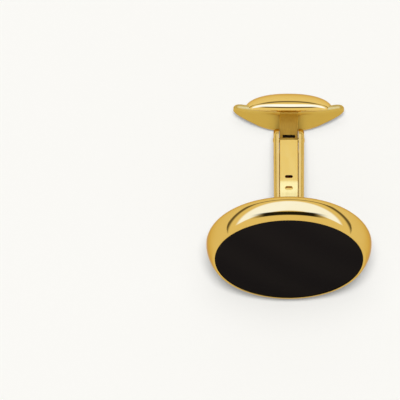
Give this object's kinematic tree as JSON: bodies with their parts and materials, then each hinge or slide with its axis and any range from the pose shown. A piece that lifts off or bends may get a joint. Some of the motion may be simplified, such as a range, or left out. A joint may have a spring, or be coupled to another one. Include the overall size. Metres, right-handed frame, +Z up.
{
  "type": "cufflink",
  "caption": "Round cufflink: a low domed black stone in a polished gold bezel, a channel post with a leaf spring, and a capped toggle that flips on a pin.",
  "frame": {"origin": "on the table under the middle of the cufflink as it lies on its side", "axes": "+X along the hinge pin, +Y from the face towards the toggle, +Z up from the table"},
  "size_m": [0.0176, 0.0222, 0.0167],
  "materials": {
    "polished_gold": "polished",
    "spring_gold": "polished",
    "black_onyx": "polished",
    "setting_cement": "matte"
  },
  "bodies": {
    "face_and_post": {"bezel_ring": "polished_gold", "onyx_stone": "black_onyx", "stone_cement": "setting_cement", "back_plate": "polished_gold", "post_pad": "polished_gold", "post_channel": "polished_gold", "leaf_spring": "spring_gold", "spring_rivet": "spring_gold", "hinge_pin": "spring_gold"},
    "toggle": {"toggle_hub": "polished_gold", "wing_plate": "polished_gold", "toggle_cap": "polished_gold"}
  },
  "joints": [
    {"name": "toggle_flip", "type": "hinge", "parent": "face_and_post", "child": "toggle", "pos_m": [0, 0.00581, 0.00354], "axis": [1, 0, 0], "range_deg": [-90, 90]}
  ]
}
